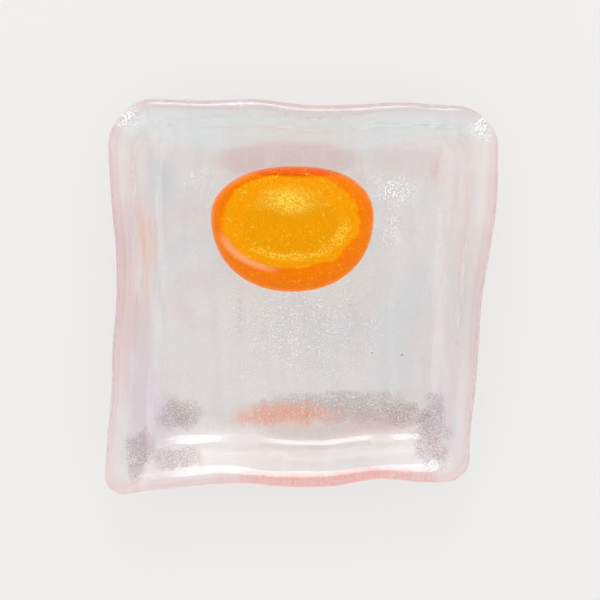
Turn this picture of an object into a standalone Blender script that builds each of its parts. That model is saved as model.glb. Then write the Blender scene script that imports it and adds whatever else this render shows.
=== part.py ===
"""Glass fried egg: a square slumped dish of clear fused glass for the white, with a domed orange glass yolk.

Metres, +Z up. The dish lies on its flat underside, and the origin is the middle of that underside.
+Y is the side that the yolk sits towards.
"""
import math

import bmesh
import bpy
from mathutils import Vector

MM = 0.001

# The sheet: two 3 mm layers fused into one
GLASS = 6.0 * MM
RIM_HEIGHT = 19.5 * MM

# Where the four sides would meet if the corners were sharp, seen from above, anticlockwise from the lower left
RIM_CORNERS = [
    Vector((-66.3, -67.9)) * MM,
    Vector((57.4, -62.8)) * MM,
    Vector((66.7, 64.8)) * MM,
    Vector((-64.6, 66.7)) * MM,
]
RIM_RADII = [7.0 * MM, 8.5 * MM, 16.0 * MM, 17.0 * MM]

# How far the hand-formed rim stands out of each straight side, at seven even steps along it
SIDE_BOWS = {
    "lower": [-1.4, -2.4, -2.7, -0.85, -0.45, -2.3, -0.45],
    "right": [-1.1, -0.7, -0.9, -1.0, 0.1, 1.0, 0.3],
    "upper": [-0.9, -0.2, -1.3, -1.5, 0.3, -0.5, -0.2],
    "left": [-1.1, -2.0, -3.6, -3.7, -2.4, -2.1, -0.6],
}

# The flat bottom, inside the rise of the walls
FLAT_CORNERS = [
    Vector((-45.5, -42.5)) * MM,
    Vector((43.0, -42.0)) * MM,
    Vector((45.5, 48.0)) * MM,
    Vector((-45.0, 48.5)) * MM,
]
FLAT_RADII = [8.0 * MM, 8.0 * MM, 9.0 * MM, 9.0 * MM]

# The flat's edge is straight but for the side below the yolk, where the glass slumped outwards
STRAIGHT = [0.0] * 7
FLAT_BOWS = {
    "lower": [-0.8, 0.6, 2.2, 3.6, 3.9, 3.3, 2.2],
    "right": STRAIGHT,
    "upper": STRAIGHT,
    "left": STRAIGHT,
}

# The wall's middle line: it leaves the flat in a cove, climbs straight, and rolls out into a flared lip
COVE_RADIUS = 12.0 * MM
WALL_SLOPE = math.radians(60.0)
FLARE_RADIUS = 11.0 * MM
LIP_SLOPE = math.radians(20.0)

# The lip rises and falls round the dish: whole waves in a turn, height, and phase
LIP_WAVES = [(3, 0.5 * MM, 0.7), (5, 0.4 * MM, 2.1), (8, 0.25 * MM, 4.0)]

# The yolk is widest at its middle, and reaches less far above it than below
YOLK_HALF_WIDTH = 27.7 * MM
YOLK_REACH_ABOVE = 17.0 * MM
YOLK_REACH_BELOW = 25.8 * MM
YOLK_HEIGHT = 8.5 * MM
YOLK_MIDDLE = Vector((-2.7, 26.7)) * MM

# How square its outline is: 2 is a true oval. Above the middle it is squarer, most of all on the right
YOLK_SQUARENESS = 2.15
YOLK_SQUARER_ABOVE = 0.14
YOLK_SQUARER_RIGHT = 0.2

# The yolk's rounded shoulder is wide on the side it slumped to, and narrow on the other
SHOULDER_WIDTH = 5.8 * MM
SHOULDER_EXTRA = 3.8 * MM
SHOULDER_SIDE = math.radians(-60.0)
SHOULDER_HEIGHT = 7.2 * MM

CONTACT_GAP = 0.3 * MM

# Mesh fineness
SIDE_STEPS = 20
CORNER_STEPS = 8
COVE_STEPS = 6
FLARE_STEPS = 5
LIP_CAP_STEPS = 6
YOLK_TURN_STEPS = 72
YOLK_SHOULDER_STEPS = 9
YOLK_CROWN_STEPS = 4


def clear_scene():
    for old in list(bpy.data.objects):
        bpy.data.objects.remove(old)


def smooth_between(values, t):
    """A Catmull-Rom curve through evenly spaced values, with t from 0 to 1 along them."""
    spans = len(values) - 1
    place = min(max(t, 0.0), 1.0) * spans
    k = min(int(place), spans - 1)
    f = place - k
    before = values[max(k - 1, 0)]
    here = values[k]
    there = values[k + 1]
    after = values[min(k + 2, spans)]
    rise = 0.5 * (there - before)
    fall = 0.5 * (after - here)
    step = there - here
    return here + f * (rise + f * (3 * step - 2 * rise - fall + f * (rise + fall - 2 * step)))


def side_point(start, end, bows, t):
    """A point along a side that runs anticlockwise, moved outwards by its bow."""
    along = (end - start).normalized()
    outward = Vector((along.y, -along.x))
    bow = smooth_between([0.0, *bows, 0.0], t) * MM
    return start.lerp(end, t) + outward * bow


def corner_arc(entry, entry_dir, leave, leave_dir, steps):
    """A round corner as one cubic curve, without its two end points."""
    handle = 0.552 * 0.5 * ((leave - entry).dot(entry_dir) + (leave - entry).dot(leave_dir))
    a = entry + entry_dir * handle
    b = leave - leave_dir * handle
    points = []
    for k in range(1, steps):
        t = k / steps
        s = 1.0 - t
        points.append(s**3 * entry + 3 * s * s * t * a + 3 * s * t * t * b + t**3 * leave)
    return points


def plan_loop(corners, radii, bows):
    """A closed outline seen from above: four bowed sides with round corners, always the same number of points."""
    count = len(corners)
    sides = []
    for k in range(count):
        start, end = corners[k], corners[(k + 1) % count]
        length = (end - start).length
        first = radii[k] / length
        last = 1.0 - radii[(k + 1) % count] / length
        steps = [first + (last - first) * i / SIDE_STEPS for i in range(SIDE_STEPS + 1)]
        sides.append([side_point(start, end, bows[k], t) for t in steps])
    loop = []
    for k in range(count):
        side, following = sides[k], sides[(k + 1) % count]
        loop.extend(side)
        entry_dir = (side[-1] - side[-2]).normalized()
        leave_dir = (following[1] - following[0]).normalized()
        loop.extend(corner_arc(side[-1], entry_dir, following[0], leave_dir, CORNER_STEPS))
    return loop


def wall_line():
    """The wall's middle line as (run, rise, slope), from the flat's edge to the middle of the lip."""
    line = []
    for k in range(COVE_STEPS + 1):
        slope = WALL_SLOPE * k / COVE_STEPS
        line.append((COVE_RADIUS * math.sin(slope), GLASS / 2 + COVE_RADIUS * (1 - math.cos(slope)), slope))
    flare_rise = FLARE_RADIUS * (math.cos(LIP_SLOPE) - math.cos(WALL_SLOPE))
    run, rise, _ = line[-1]
    flare_start = RIM_HEIGHT - GLASS / 2 - flare_rise
    run += (flare_start - rise) / math.tan(WALL_SLOPE)
    for k in range(FLARE_STEPS + 1):
        slope = WALL_SLOPE + (LIP_SLOPE - WALL_SLOPE) * k / FLARE_STEPS
        flare_run = FLARE_RADIUS * (math.sin(WALL_SLOPE) - math.sin(slope))
        climbed = FLARE_RADIUS * (math.cos(slope) - math.cos(WALL_SLOPE))
        line.append((run + flare_run, flare_start + climbed, slope))
    return line


def lip_wave(turn):
    return sum(height * math.sin(2 * math.pi * waves * turn + phase) for waves, height, phase in LIP_WAVES)


def dish_sections():
    """The stations round the section of the glass, each as (run, rise, slope, turn of the skin from the slope)."""
    line = wall_line()
    inside = [(*place, math.pi / 2) for place in line]
    cap_turns = [math.pi / 2 - math.pi * k / LIP_CAP_STEPS for k in range(1, LIP_CAP_STEPS)]
    cap = [(*line[-1], turn) for turn in cap_turns]
    underneath = [(*place, -math.pi / 2) for place in reversed(line)]
    return inside + cap + underneath


def dish_rings():
    """The dish's skin as rings of points, from the edge of the flat inside, over the lip, to the flat underneath."""
    rim = plan_loop(RIM_CORNERS, RIM_RADII, list(SIDE_BOWS.values()))
    flat = plan_loop(FLAT_CORNERS, FLAT_RADII, list(FLAT_BOWS.values()))
    half = GLASS / 2
    full_run, full_rise, _ = wall_line()[-1]
    rings = []
    for run, rise, slope, turn in dish_sections():
        ring = []
        for k, (inner, outer) in enumerate(zip(flat, rim)):
            outward = (outer - inner).normalized()
            wall_run = (outer - inner).length - half
            slope_here = math.atan2(math.sin(slope), math.cos(slope) * wall_run / full_run)
            facing = slope_here + turn
            lift = lip_wave(k / len(rim)) * (rise - half) / (full_rise - half)
            spot = inner + outward * (wall_run * run / full_run + half * math.cos(facing))
            ring.append(Vector((spot.x, spot.y, rise + lift + half * math.sin(facing))))
        rings.append(ring)
    return rings


def yolk_radius(angle):
    """The yolk's outline, from its middle."""
    across = math.cos(angle)
    along = math.sin(angle)
    squareness = YOLK_SQUARENESS + max(along, 0.0) * (YOLK_SQUARER_ABOVE + YOLK_SQUARER_RIGHT * across)
    reach = YOLK_REACH_ABOVE if along > 0 else YOLK_REACH_BELOW
    across = abs(across / YOLK_HALF_WIDTH) ** squareness
    along = abs(along / reach) ** squareness
    return (across + along) ** (-1.0 / squareness)


def yolk_spot(angle, inset, height):
    """A point of the yolk's skin, so far in from its outline and so high above the glass that it lies on."""
    plan = YOLK_MIDDLE + Vector((math.cos(angle), math.sin(angle))) * (yolk_radius(angle) - inset)
    return Vector((plan.x, plan.y, GLASS + CONTACT_GAP + height))


def yolk_rings():
    """The yolk's skin from its foot, up the rounded shoulder and over the low crown."""
    angles = [2 * math.pi * k / YOLK_TURN_STEPS for k in range(YOLK_TURN_STEPS)]
    widths = [SHOULDER_WIDTH + SHOULDER_EXTRA * math.cos(a - SHOULDER_SIDE) for a in angles]
    rings = []
    for k in range(YOLK_SHOULDER_STEPS + 1):
        climb = 0.5 * math.pi * k / YOLK_SHOULDER_STEPS
        inset = 1.0 - math.cos(climb)
        height = SHOULDER_HEIGHT * math.sin(climb)
        rings.append([yolk_spot(a, w * inset, height) for a, w in zip(angles, widths)])
    for k in range(1, YOLK_CROWN_STEPS):
        share = k / YOLK_CROWN_STEPS
        height = SHOULDER_HEIGHT + (YOLK_HEIGHT - SHOULDER_HEIGHT) * (1 - (1 - share) ** 2)
        ring = []
        for a, w in zip(angles, widths):
            ring.append(yolk_spot(a, w + (yolk_radius(a) - w) * share, height))
        rings.append(ring)
    return rings


def skin(name, rings, crown=None):
    """A closed body through rings of equal count, shut at its ends by flat faces, or by a fan up to a crown point."""
    mesh = bpy.data.meshes.new(name)
    bm = bmesh.new()
    loops = [[bm.verts.new(point) for point in ring] for ring in rings]
    count = len(loops[0])
    for lower, upper in zip(loops, loops[1:]):
        for k in range(count):
            following = (k + 1) % count
            bm.faces.new((lower[k], lower[following], upper[following], upper[k]))
    bm.faces.new(list(reversed(loops[0])))
    if crown is None:
        bm.faces.new(loops[-1])
    else:
        peak = bm.verts.new(crown)
        for k in range(count):
            bm.faces.new((loops[-1][k], loops[-1][(k + 1) % count], peak))
    bmesh.ops.recalc_face_normals(bm, faces=bm.faces)
    bm.to_mesh(mesh)
    bm.free()
    mesh.shade_smooth()
    mesh.set_sharp_from_angle(angle=math.radians(40))
    made = bpy.data.objects.new(name, mesh)
    bpy.context.scene.collection.objects.link(made)
    return made


def glass(name, colour, roughness):
    """Clear or tinted glass."""
    material = bpy.data.materials.new(name)
    material.use_nodes = True
    shader = material.node_tree.nodes["Principled BSDF"]
    shader.inputs["Base Color"].default_value = (*colour, 1.0)
    shader.inputs["Roughness"].default_value = roughness
    shader.inputs["Metallic"].default_value = 0.0
    shader.inputs["IOR"].default_value = 1.5
    shader.inputs["Transmission Weight"].default_value = 0.9
    return material


def make_dish():
    dish = skin("dish", dish_rings())
    dish.data.materials.append(glass("clear_glass", (0.86, 0.80, 0.79), 0.08))
    return dish


def make_yolk():
    crown = Vector((YOLK_MIDDLE.x, YOLK_MIDDLE.y, GLASS + CONTACT_GAP + YOLK_HEIGHT))
    yolk = skin("yolk", yolk_rings(), crown)
    yolk.data.materials.append(glass("orange_glass", (0.90, 0.30, 0.01), 0.12))
    return yolk


def main():
    clear_scene()
    make_dish()
    make_yolk()


main()
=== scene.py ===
"""Glass fried egg: a slumped dish of clear pearly glass, an orange glass yolk, and a studio.

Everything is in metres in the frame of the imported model: +Z up out of the dish, +Y towards the yolk.
"""

import math

import bmesh
import bpy
from bpy.props import FloatProperty, FloatVectorProperty, PointerProperty
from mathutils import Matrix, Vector, noise


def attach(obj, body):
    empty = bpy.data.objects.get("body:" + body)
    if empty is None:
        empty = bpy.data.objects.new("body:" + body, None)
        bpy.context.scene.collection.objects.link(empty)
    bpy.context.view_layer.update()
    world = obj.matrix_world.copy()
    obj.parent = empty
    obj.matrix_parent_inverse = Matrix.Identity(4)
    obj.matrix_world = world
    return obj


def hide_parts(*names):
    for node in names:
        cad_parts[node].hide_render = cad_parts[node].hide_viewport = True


bl_info = {
    "name": "Glass Fried Egg",
    "version": (1, 0, 0),
    "blender": (4, 5, 0),
    "location": "3D View > Sidebar > Glass Egg",
    "description": "Builds a fried egg of fused glass around its packed model",
    "category": "Object",
}

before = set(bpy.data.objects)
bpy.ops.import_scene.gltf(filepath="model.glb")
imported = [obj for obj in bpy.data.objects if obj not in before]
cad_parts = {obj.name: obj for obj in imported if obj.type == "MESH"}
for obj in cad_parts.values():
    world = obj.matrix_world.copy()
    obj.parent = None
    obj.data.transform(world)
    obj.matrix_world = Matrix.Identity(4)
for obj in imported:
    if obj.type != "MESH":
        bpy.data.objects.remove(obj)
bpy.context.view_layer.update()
MM = 0.001

# Where the four sides would meet in sharp corners, seen from above, anticlockwise from the lower left
RIM_CORNERS = [Vector(spot) * MM for spot in ((-66.3, -67.9), (57.4, -62.8), (66.7, 64.8), (-64.6, 66.7))]
RIM_RADII = [7.0 * MM, 8.5 * MM, 16.0 * MM, 17.0 * MM]

# How far the hand-formed rim stands out of each straight side in mm, at seven even steps along it
SIDE_BOWS = {
    "lower": [-1.4, -2.4, -2.7, -0.85, -0.45, -2.3, -0.45],
    "right": [-1.1, -0.7, -0.9, -1.0, 0.1, 1.0, 0.3],
    "upper": [-0.9, -0.2, -1.3, -1.5, 0.3, -0.5, -0.2],
    "left": [-1.1, -2.0, -3.6, -3.7, -2.4, -2.1, -0.6],
}

# The flat floor's corners, in the same order
FLAT_CORNERS = [Vector(spot) * MM for spot in ((-45.5, -42.5), (43.0, -42.0), (45.5, 48.0), (-45.0, 48.5))]
FLAT_RADII = [8.0 * MM, 8.0 * MM, 9.0 * MM, 9.0 * MM]

# The flat's edge is straight but for the side below the yolk, where the glass slumped outwards
STRAIGHT = [0.0] * 7
FLAT_BOWS = {
    "lower": [-0.8, 0.6, 2.2, 3.6, 3.9, 3.3, 2.2],
    "right": STRAIGHT,
    "upper": STRAIGHT,
    "left": STRAIGHT,
}

# The length of a cubic curve's handle on a quarter circle of radius 1
ROUND_HANDLE = 0.552

# Waves in the lip's height: how many go round, height and start
LIP_WAVES = [(3, 0.5 * MM, 0.7), (5, 0.4 * MM, 2.1), (8, 0.25 * MM, 4.0)]

# The slow ripples: length along the walls and up them of the broad waves and of the fine ones
BROAD_WAVE = 26.0 * MM
BROAD_RISE = 9.0 * MM
FINE_WAVE = 10.0 * MM
FINE_RISE = 6.0 * MM
FINE_SHIFT = 7.0
FINE_SHARE = 0.35

# The ripples grow in quickly from the floor, and are half as high underneath as inside
RIPPLE_GROWTH = 2.5
RIPPLE_MEAN = 0.75
RIPPLE_SWING = 0.25

# The hollow at the foot of the lower wall: its middle and its spread
HOLLOW_MIDDLE = Vector((5.0, -53.0)) * MM
HOLLOW_SPREAD = Vector((25.0, 5.8)) * MM

# The shoulder of the yolk is wide on the side it slumped to
YOLK_MIDDLE = Vector((-2.7, 26.7)) * MM
YOLK_SQUARENESS = 2.15
YOLK_SQUARER_ABOVE = 0.14
YOLK_SQUARER_RIGHT = 0.2
SHOULDER_SIDE = math.radians(-60.0)
SHOULDER_HEIGHT = 7.2 * MM
YOLK_SINK = 0.4 * MM
YOLK_SHARP_EDGE = math.radians(50)

# The width of the band at the lip's tip where the polish gives way to the kiln side's satin
KILN_EDGE = 4.0 * MM

# How much further from the lip the middle of the floor is than its edge
FLOOR_REACH = 40.0 * MM

# Mesh fineness
SIDE_STEPS = 160
CORNER_STEPS = 28
COVE_STEPS = 18
FLARE_STEPS = 14
LIP_CAP_STEPS = 26
FLOOR_RINGS = 6
YOLK_TURN_STEPS = 192
YOLK_SHOULDER_STEPS = 24
YOLK_CROWN_STEPS = 10


class WhiteSettings(bpy.types.PropertyGroup):
    """The clear glass dish that is the white of the egg."""

    glass: FloatProperty(
        name="Glass", description="Thickness of the fused sheet", default=6.0 * MM, unit="LENGTH"
    )
    height: FloatProperty(name="Height", description="Height of the lip", default=19.5 * MM, unit="LENGTH")
    cove: FloatProperty(
        name="Cove", description="Radius where the wall leaves the floor", default=12.0 * MM, unit="LENGTH"
    )
    flare: FloatProperty(
        name="Flare", description="Radius where the wall rolls out", default=11.0 * MM, unit="LENGTH"
    )
    wall_slope: FloatProperty(
        name="Wall slope",
        description="Steepest slope of the wall",
        default=math.radians(60.0),
        unit="ROTATION",
    )
    lip_slope: FloatProperty(
        name="Lip slope",
        description="Slope of the glass at the lip",
        default=math.radians(20.0),
        unit="ROTATION",
    )
    ripple: FloatProperty(
        name="Ripple", description="Height of the walls' slow waves", default=0.35 * MM, unit="LENGTH"
    )
    hollow: FloatProperty(
        name="Hollow", description="Depth of the hollow in the lower wall", default=1.4 * MM, unit="LENGTH"
    )
    tint: FloatVectorProperty(
        name="Tint", description="What the glass lets through", default=(0.975, 0.94, 0.93), subtype="COLOR"
    )


class YolkSettings(bpy.types.PropertyGroup):
    """The orange glass yolk."""

    half_width: FloatProperty(
        name="Half width", description="Half its width", default=27.7 * MM, unit="LENGTH"
    )
    above: FloatProperty(
        name="Reach above", description="From middle to upper edge", default=17.0 * MM, unit="LENGTH"
    )
    below: FloatProperty(
        name="Reach below", description="From middle to lower edge", default=25.8 * MM, unit="LENGTH"
    )
    height: FloatProperty(
        name="Height", description="Height of its crown over the glass", default=8.5 * MM, unit="LENGTH"
    )
    shoulder: FloatProperty(
        name="Shoulder", description="Mean width of its round shoulder", default=5.8 * MM, unit="LENGTH"
    )
    lean: FloatProperty(
        name="Lean", description="How much wider that is on one side", default=3.8 * MM, unit="LENGTH"
    )
    orange: FloatVectorProperty(
        name="Orange", description="Colour of the crown", default=(0.95, 0.36, 0.001), subtype="COLOR"
    )


class StageSettings(bpy.types.PropertyGroup):
    """The ground, the lights and the camera."""

    ground: FloatVectorProperty(
        name="Ground", description="Colour of the ground", default=(0.925, 0.908, 0.898), subtype="COLOR"
    )
    sky: FloatProperty(name="Sky", description="Brightness of the light all round", default=0.885)
    softbox: FloatProperty(name="Softbox", description="Brightness of the softboxes", default=0.9)


def smooth_between(values, t):
    """A Catmull-Rom curve through evenly spaced values, with t from 0 to 1 along them."""
    spans = len(values) - 1
    place = min(max(t, 0.0), 1.0) * spans
    k = min(int(place), spans - 1)
    f = place - k
    before = values[max(k - 1, 0)]
    here = values[k]
    there = values[k + 1]
    after = values[min(k + 2, spans)]
    rise = 0.5 * (there - before)
    fall = 0.5 * (after - here)
    step = there - here
    return here + f * (rise + f * (3 * step - 2 * rise - fall + f * (rise + fall - 2 * step)))


def side_point(start, end, bows, t):
    """A point along a side that runs anticlockwise, moved outwards by its bow."""
    along = (end - start).normalized()
    outward = Vector((along.y, -along.x))
    bow = smooth_between([0.0, *bows, 0.0], t) * MM
    return start.lerp(end, t) + outward * bow


def corner_arc(entry, entry_dir, leave, leave_dir, steps):
    """A round corner as one cubic curve, without its two end points."""
    handle = ROUND_HANDLE * 0.5 * ((leave - entry).dot(entry_dir) + (leave - entry).dot(leave_dir))
    a = entry + entry_dir * handle
    b = leave - leave_dir * handle
    points = []
    for k in range(1, steps):
        t = k / steps
        s = 1.0 - t
        points.append(s**3 * entry + 3 * s * s * t * a + 3 * s * t * t * b + t**3 * leave)
    return points


def plan_loop(corners, radii, bows):
    """A closed outline seen from above: four bowed sides with round corners."""
    count = len(corners)
    sides = []
    for k in range(count):
        start, end = corners[k], corners[(k + 1) % count]
        length = (end - start).length
        first = radii[k] / length
        last = 1.0 - radii[(k + 1) % count] / length
        steps = [first + (last - first) * i / SIDE_STEPS for i in range(SIDE_STEPS + 1)]
        sides.append([side_point(start, end, bows[k], t) for t in steps])
    loop = []
    for k in range(count):
        side, following = sides[k], sides[(k + 1) % count]
        loop.extend(side)
        entry_dir = (side[-1] - side[-2]).normalized()
        leave_dir = (following[1] - following[0]).normalized()
        loop.extend(corner_arc(side[-1], entry_dir, following[0], leave_dir, CORNER_STEPS))
    return loop


def wall_line(white):
    """The wall's middle line as (run, rise, slope), from the flat's edge to the middle of the lip."""
    line = []
    for k in range(COVE_STEPS + 1):
        slope = white.wall_slope * k / COVE_STEPS
        climb = white.glass / 2 + white.cove * (1 - math.cos(slope))
        line.append((white.cove * math.sin(slope), climb, slope))
    flare_rise = white.flare * (math.cos(white.lip_slope) - math.cos(white.wall_slope))
    run, rise, _ = line[-1]
    flare_start = white.height - white.glass / 2 - flare_rise
    run += (flare_start - rise) / math.tan(white.wall_slope)
    for k in range(FLARE_STEPS + 1):
        slope = white.wall_slope + (white.lip_slope - white.wall_slope) * k / FLARE_STEPS
        flare_run = white.flare * (math.sin(white.wall_slope) - math.sin(slope))
        climbed = white.flare * (math.cos(slope) - math.cos(white.wall_slope))
        line.append((run + flare_run, flare_start + climbed, slope))
    return line


def lip_wave(turn):
    """How far the lip is lifted, with the turn from 0 to 1 round it."""
    return sum(height * math.sin(2 * math.pi * waves * turn + phase) for waves, height, phase in LIP_WAVES)


def slow_ripple(spot, height):
    """Slow waves of slumped glass: long along each wall and short up it."""
    broad = noise.noise(Vector((spot.x / BROAD_WAVE, spot.y / BROAD_WAVE, spot.z / BROAD_RISE)))
    fine = noise.noise(Vector((spot.x / FINE_WAVE + FINE_SHIFT, spot.y / FINE_WAVE, spot.z / FINE_RISE)))
    return height * (broad + FINE_SHARE * fine)


def slump_hollow(spot, depth):
    """The shallow hollow where the lower wall leaves the floor, which the glass slumped into."""
    across = (spot.x - HOLLOW_MIDDLE.x) / HOLLOW_SPREAD.x
    along = (spot.y - HOLLOW_MIDDLE.y) / HOLLOW_SPREAD.y
    return depth * math.exp(-(across**6) - along**2)


def skin_stations(line):
    """The places along the skin's section, from inside over the lip to underneath, with their turn."""
    quarter = math.pi / 2
    stations = [(*place, quarter) for place in line]
    stations += [(*line[-1], quarter - math.pi * k / LIP_CAP_STEPS) for k in range(1, LIP_CAP_STEPS)]
    return stations + [(*place, -quarter) for place in reversed(line)]


def reach_from_tip(stations, half, tip):
    """How far each place of the section lies from the lip's tip: less than 0 inside."""
    profile = [
        Vector((run + half * math.cos(slope + turn), rise + half * math.sin(slope + turn)))
        for run, rise, slope, turn in stations
    ]
    lengths = [0.0]
    for a, b in zip(profile, profile[1:]):
        lengths.append(lengths[-1] + (b - a).length)
    return [length - lengths[tip] for length in lengths]


def dish_rings(white):
    """The dish's skin as rings of points, each with its reach from the lip's tip and its kiln side."""
    rim = plan_loop(RIM_CORNERS, RIM_RADII, list(SIDE_BOWS.values()))
    flat = plan_loop(FLAT_CORNERS, FLAT_RADII, list(FLAT_BOWS.values()))
    line = wall_line(white)
    half = white.glass / 2
    full_run, full_rise, _ = line[-1]
    stations = skin_stations(line)
    reaches = reach_from_tip(stations, half, len(line) - 1 + LIP_CAP_STEPS // 2)
    rings = []
    for (run, rise, slope, turn), reach in zip(stations, reaches):
        share = run / full_run
        inside = turn > 0
        fade = min(1.0, share * RIPPLE_GROWTH) * (RIPPLE_MEAN + RIPPLE_SWING * math.sin(turn))
        ring = []
        for k, (inner, outer) in enumerate(zip(flat, rim)):
            outward = (outer - inner).normalized()
            wall_run = (outer - inner).length - half
            slope_here = math.atan2(math.sin(slope), math.cos(slope) * wall_run / full_run)
            facing = slope_here + turn
            lift = lip_wave(k / len(rim)) * (rise - half) / (full_rise - half)
            middle = inner + outward * (wall_run * share)
            spot = Vector((middle.x, middle.y, rise + lift))
            away = Vector((outward.x * math.cos(facing), outward.y * math.cos(facing), math.sin(facing)))
            skin = spot + away * half
            thick = half + slow_ripple(skin, white.ripple) * fade
            if inside:
                thick -= slump_hollow(skin, white.hollow)
            ring.append(spot + away * thick)
        kiln_side = min(1.0, max(0.0, reach / KILN_EDGE + 0.5))
        rings.append((ring, abs(reach), kiln_side))
    return flat, rings


def floor_rings(flat, height, reach, kiln_side):
    """Rings that close the flat floor towards its middle, starting next to its edge."""
    middle = sum(flat, Vector((0.0, 0.0))) / len(flat)
    rings = []
    for k in range(1, FLOOR_RINGS):
        share = 1.0 - k / FLOOR_RINGS
        ring = [Vector((*middle.lerp(point, share), height)) for point in flat]
        rings.append((ring, reach + (1.0 - share) * FLOOR_REACH, kiln_side))
    return rings, Vector((middle.x, middle.y, height))


def close_skin(name, rings, start, end):
    """A closed body through rings of equal count, shut at both ends by fans to a point."""
    bm = bmesh.new()
    lip = bm.verts.layers.float.new("from_lip")
    kiln = bm.verts.layers.float.new("kiln_side")

    def placed_vert(point, reach, kiln_side):
        vert = bm.verts.new(point)
        vert[lip] = reach
        vert[kiln] = kiln_side
        return vert

    loops = [[placed_vert(point, reach, side) for point in ring] for ring, reach, side in rings]
    count = len(loops[0])
    for lower, upper in zip(loops, loops[1:]):
        for k in range(count):
            following = (k + 1) % count
            bm.faces.new((lower[k], lower[following], upper[following], upper[k]))
    for place, point in ((0, start), (-1, end)):
        loop = loops[place]
        peak = placed_vert(point, *rings[place][1:])
        for k in range(count):
            bm.faces.new((loop[k], loop[(k + 1) % count], peak))
    bmesh.ops.recalc_face_normals(bm, faces=bm.faces)
    mesh = bpy.data.meshes.new(name)
    bm.to_mesh(mesh)
    bm.free()
    mesh.shade_smooth()
    piece = bpy.data.objects.new(name, mesh)
    bpy.context.scene.collection.objects.link(piece)
    return piece


def yolk_radius(yolk, angle):
    """The yolk's outline, from its middle."""
    across = math.cos(angle)
    along = math.sin(angle)
    squareness = YOLK_SQUARENESS + max(along, 0.0) * (YOLK_SQUARER_ABOVE + YOLK_SQUARER_RIGHT * across)
    reach = yolk.above if along > 0 else yolk.below
    across = abs(across / yolk.half_width) ** squareness
    along = abs(along / reach) ** squareness
    return (across + along) ** (-1.0 / squareness)


def yolk_rings(yolk, foot):
    """The yolk's skin from its foot, up the rounded shoulder and over the low crown."""
    angles = [2 * math.pi * k / YOLK_TURN_STEPS for k in range(YOLK_TURN_STEPS)]
    radii = [yolk_radius(yolk, a) for a in angles]
    widths = [yolk.shoulder + yolk.lean * math.cos(a - SHOULDER_SIDE) for a in angles]
    rings = []

    def add_ring(insets, height):
        ring = []
        for angle, radius, inset in zip(angles, radii, insets):
            reach = radius - inset
            x = YOLK_MIDDLE.x + reach * math.cos(angle)
            y = YOLK_MIDDLE.y + reach * math.sin(angle)
            ring.append(Vector((x, y, foot + height)))
        rings.append((ring, 0.0, 0.0))

    add_ring([0.0] * len(angles), -YOLK_SINK)
    for k in range(YOLK_SHOULDER_STEPS + 1):
        climb = 0.5 * math.pi * k / YOLK_SHOULDER_STEPS
        add_ring([w * (1.0 - math.cos(climb)) for w in widths], SHOULDER_HEIGHT * math.sin(climb))
    for k in range(1, YOLK_CROWN_STEPS):
        share = k / YOLK_CROWN_STEPS
        height = SHOULDER_HEIGHT + (yolk.height - SHOULDER_HEIGHT) * (1 - (1 - share) ** 2)
        add_ring([w + (r - w) * share for w, r in zip(widths, radii)], height)
    return rings


# The few tints of the glass, as what it lets through: the pearly coat's, then the yolk's. Some paint light
# and shade instead, as noted beside them
TINTS = {
    "pale": (0.98, 0.97, 0.96),
    "cool": (0.90, 0.955, 0.955),
    "mist": (0.80, 0.81, 0.84),
    "rose": (0.92, 0.77, 0.77),
    "dusk": (0.86, 0.60, 0.64),
    "lilac": (0.88, 0.77, 0.85),
    "beige": (0.86, 0.76, 0.71),
    "blush": (0.88, 0.70, 0.67),
    "shade": (0.60, 0.50, 0.50),
    # Painted shade under the floor, and the dark seeds in the glass
    "smoke": (0.26, 0.15, 0.14),
    # Painted reflections of the yolk and its painted orange light
    "peach": (1.00, 0.62, 0.46),
    # Painted orange light of the yolk on the floor
    "ember": (1.00, 0.30, 0.18),
    # Partly painted light: the yolk's orange that the glass carries to its lip
    "coral": (1.00, 0.52, 0.48),
    "tangerine": (0.94, 0.175, 0.001),
    "vermilion": (0.82, 0.07, 0.001),
    "amber": (0.85, 0.34, 0.001),
    "rust": (0.90, 0.25, 0.001),
    # Painted glow round the yolk's foot
    "apricot": (1.00, 0.50, 0.02),
    "honey": (1.00, 0.70, 0.05),
    # Painted light that the yolk focuses along its inner oval
    "gold": (1.00, 0.74, 0.06),
    # Painted highlight at the top of the yolk
    "yellow": (1.00, 0.84, 0.09),
    # Painted reflection of the room in the yolk's shoulder
    "salmon": (1.00, 0.46, 0.22),
}


def rgba(colour):
    return (*colour, 1.0)


BLACK = rgba((0.0, 0.0, 0.0))
WHITE = rgba((1.0, 1.0, 1.0))


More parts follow.
